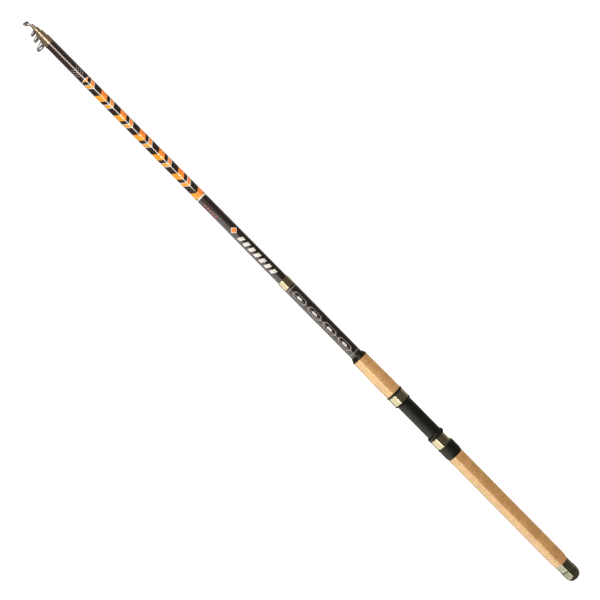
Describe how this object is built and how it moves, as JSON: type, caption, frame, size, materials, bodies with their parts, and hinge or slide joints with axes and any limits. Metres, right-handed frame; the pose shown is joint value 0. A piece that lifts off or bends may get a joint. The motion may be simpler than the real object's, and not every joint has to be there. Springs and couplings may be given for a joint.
{
  "type": "telescopic fishing rod",
  "caption": "Telescopic fishing rod with cork grips, a screw-locked reel seat, nested tapered sections that draw out, and ring guides along one side.",
  "frame": {"origin": "centre of the butt cap's flat end, on the rod's axis", "axes": "+Z along the rod towards the tip, -X towards the line guides and the reel's side of the seat, +Y completes a right-handed frame"},
  "size_m": [0.0339, 0.027, 1.1103],
  "materials": {
    "gunmetal": "turned and darkly anodised, satin",
    "rubber": "matt",
    "blank": "carbon composite under clear gloss lacquer",
    "cork": "sanded cork rings, matt",
    "black_plastic": "moulded, satin",
    "tape": "wound paper tape",
    "nickel": "bright, pale champagne",
    "gold": "bright, gold anodised",
    "wire": "dark polished wire",
    "ceramic": "polished hard ring"
  },
  "bodies": {
    "handle": {"butt_ferrule": "gunmetal", "handle_tube": "blank", "rear_grip_corks": "cork", "reel_seat_body": "black_plastic", "seat_arbors": "tape", "fixed_hood_band": "nickel", "seat_trim_ring": "black_plastic", "front_grip_corks": "cork", "winding_check": "black_plastic", "mouth_ring": "nickel"},
    "butt_pad": {"cap_pad": "rubber"},
    "butt_cap": {"butt_cap": "gunmetal"},
    "moving_hood": {"moving_hood_liner": "black_plastic", "moving_hood_band": "nickel", "hood_washer": "nickel"},
    "lock_nut": {"lock_nut": "black_plastic"},
    "second_section": {"second_tube": "blank"},
    "third_section": {"third_tube": "blank", "large_guide_collar": "gold", "large_guide_frame": "wire", "large_guide_ring": "ceramic"},
    "fourth_section": {"fourth_tube": "blank", "middle_guide_collar": "gold", "middle_guide_frame": "wire", "middle_guide_ring": "ceramic"},
    "fifth_section": {"fifth_tube": "blank", "small_guide_collar": "gold", "small_guide_frame": "wire", "small_guide_ring": "ceramic"},
    "tip_section": {"tip_rod": "blank", "tip_top_socket": "gold", "tip_top_frame": "wire", "tip_top_ring": "ceramic"}
  },
  "joints": [
    {"name": "second_slide", "type": "slide", "parent": "handle", "child": "second_section", "axis": [0, 0, 1], "range_m": [-0.4646, 0]},
    {"name": "third_slide", "type": "slide", "parent": "second_section", "child": "third_section", "axis": [0, 0, 1], "range_m": [0, 0.473]},
    {"name": "fourth_slide", "type": "slide", "parent": "third_section", "child": "fourth_section", "axis": [0, 0, 1], "range_m": [0, 0.473]},
    {"name": "fifth_slide", "type": "slide", "parent": "fourth_section", "child": "fifth_section", "axis": [0, 0, 1], "range_m": [0, 0.473]},
    {"name": "tip_slide", "type": "slide", "parent": "fifth_section", "child": "tip_section", "axis": [0, 0, 1], "range_m": [0, 0.473]},
    {"name": "hood_slide", "type": "slide", "parent": "handle", "child": "moving_hood", "axis": [0, 0, 1], "range_m": [0, 0.00601]},
    {"name": "nut_turn", "type": "hinge", "parent": "moving_hood", "child": "lock_nut", "pos_m": [0, 0, 0.255], "axis": [0, 0, 1], "range_deg": [0, 1080]},
    {"name": "cap_slide", "type": "slide", "parent": "handle", "child": "butt_pad", "axis": [0, 0, -1], "range_m": [0, 0.01501]},
    {"name": "cap_turn", "type": "hinge", "parent": "butt_pad", "child": "butt_cap", "pos_m": [0, 0, 0.01], "axis": [0, 0, -1], "range_deg": [0, 3600]}
  ],
  "couplings": [
    {"joint": "hood_slide", "follows": "nut_turn", "m_per_rad": 0.00031831},
    {"joint": "cap_slide", "follows": "cap_turn", "m_per_rad": 0.00023873}
  ]
}
